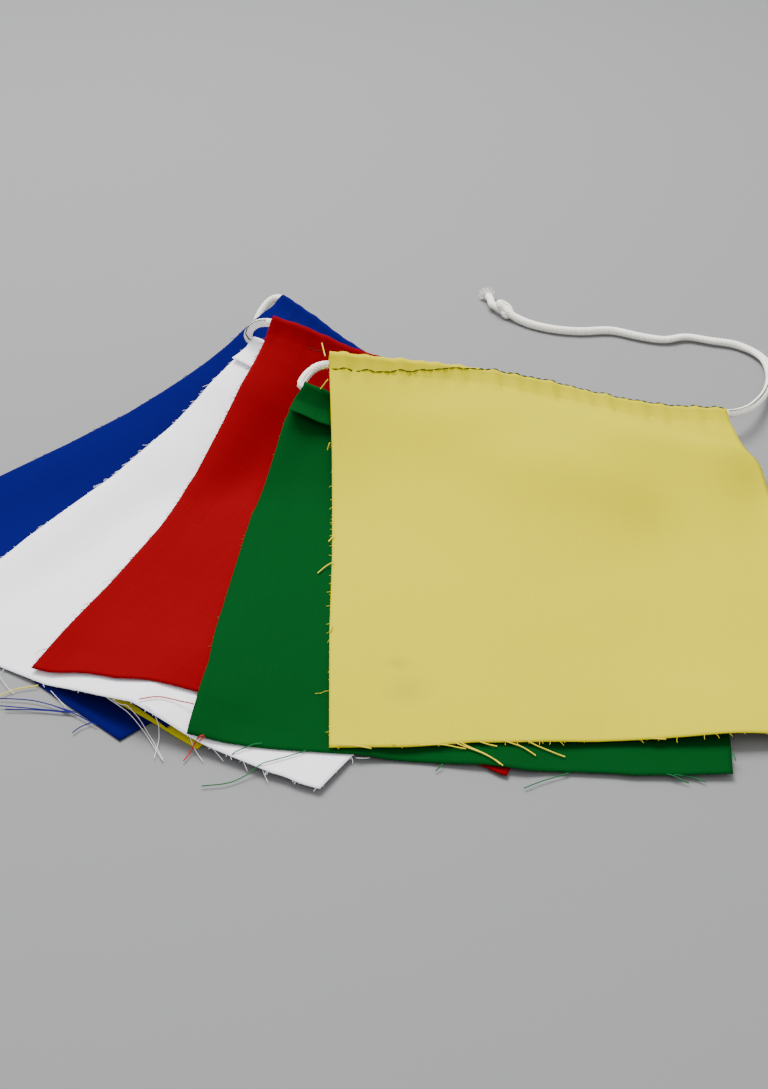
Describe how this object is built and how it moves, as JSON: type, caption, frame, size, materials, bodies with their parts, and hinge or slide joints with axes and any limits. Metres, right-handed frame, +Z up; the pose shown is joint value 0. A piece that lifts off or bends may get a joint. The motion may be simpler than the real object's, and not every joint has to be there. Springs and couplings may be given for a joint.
{
  "type": "prayer flag string",
  "caption": "Blank cotton flags in the prayer flag colours on one cord, folded together and fanned out on a surface, with the cord's free end lying behind.",
  "frame": {"origin": "on the surface that the string lies on, below the middle of the flags", "axes": "+Z up off the surface, +X along the top flag's hem towards the cord's free end, +Y back over the hems, away from the flags' loose edges"},
  "size_m": [0.4591, 0.4585, 0.0538],
  "materials": {
    "blue": "matte woven cotton",
    "white": "matte woven cotton",
    "red": "matte woven cotton",
    "green": "matte woven cotton",
    "yellow": "matte woven cotton",
    "cord": "matte braided cotton"
  },
  "bodies": {
    "root": {"flag_01_blue": "blue", "flag_02_white": "white", "flag_03_red": "red", "flag_04_green": "green", "flag_05_yellow": "yellow", "flag_06_blue": "blue", "flag_07_white": "white", "flag_08_red": "red", "flag_09_green": "green", "flag_10_yellow": "yellow", "hem_cord": "cord", "tail_cord": "cord", "tail_knot": "cord"}
  },
  "joints": []
}
